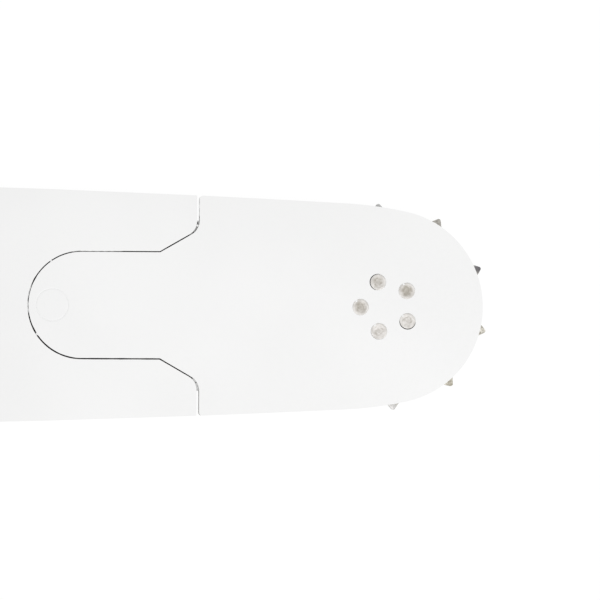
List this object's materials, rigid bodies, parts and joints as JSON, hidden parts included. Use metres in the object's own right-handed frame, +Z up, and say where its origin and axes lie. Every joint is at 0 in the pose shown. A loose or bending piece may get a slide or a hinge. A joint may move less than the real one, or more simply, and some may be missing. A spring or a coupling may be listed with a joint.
{
  "type": "chainsaw guide bar",
  "caption": "Steel chainsaw guide bar with a replaceable sprocket nose whose toothed wheel turns on a roller bearing; slot and pin holes at the tail fix it to a saw.",
  "frame": {"origin": "middle of the stud slot, on the lower face of the bar", "axes": "+X along the bar from the tail to the nose, +Z up through its thickness, +Y across it"},
  "size_m": [0.591, 0.0684, 0.0048],
  "materials": {
    "white_paint": "satin",
    "bare_steel": "satin",
    "rivet_steel": "satin",
    "sprocket_steel": "satin",
    "bearing_steel": "polished"
  },
  "bodies": {
    "bar": {"bar_body": "white_paint", "nose_plate_upper": "white_paint", "nose_plate_lower": "white_paint", "nose_rivet": "white_paint", "nose_spacer": "bare_steel", "bearing_inner_race": "bearing_steel", "bearing_rivets": "rivet_steel"},
    "sprocket": {"nose_sprocket": "sprocket_steel"},
    "rollers": {"bearing_roller_01": "bearing_steel", "bearing_roller_02": "bearing_steel", "bearing_roller_03": "bearing_steel", "bearing_roller_04": "bearing_steel", "bearing_roller_05": "bearing_steel", "bearing_roller_06": "bearing_steel", "bearing_roller_07": "bearing_steel", "bearing_roller_08": "bearing_steel", "bearing_roller_09": "bearing_steel", "bearing_roller_10": "bearing_steel", "bearing_roller_11": "bearing_steel", "bearing_roller_12": "bearing_steel", "bearing_roller_13": "bearing_steel", "bearing_roller_14": "bearing_steel", "bearing_roller_15": "bearing_steel", "bearing_roller_16": "bearing_steel", "bearing_roller_17": "bearing_steel", "bearing_roller_18": "bearing_steel", "bearing_roller_19": "bearing_steel", "bearing_roller_20": "bearing_steel", "bearing_roller_21": "bearing_steel", "bearing_roller_22": "bearing_steel"}
  },
  "joints": [
    {"name": "sprocket_spin", "type": "hinge", "parent": "bar", "child": "sprocket", "pos_m": [0.5032, 0, 0.0024], "axis": [0, 0, 1], "continuous": true},
    {"name": "roller_orbit", "type": "hinge", "parent": "bar", "child": "rollers", "pos_m": [0.5032, 0, 0.0024], "axis": [0, 0, 1], "continuous": true}
  ],
  "couplings": [
    {"joint": "roller_orbit", "follows": "sprocket_spin", "ratio": 0.5704}
  ]
}
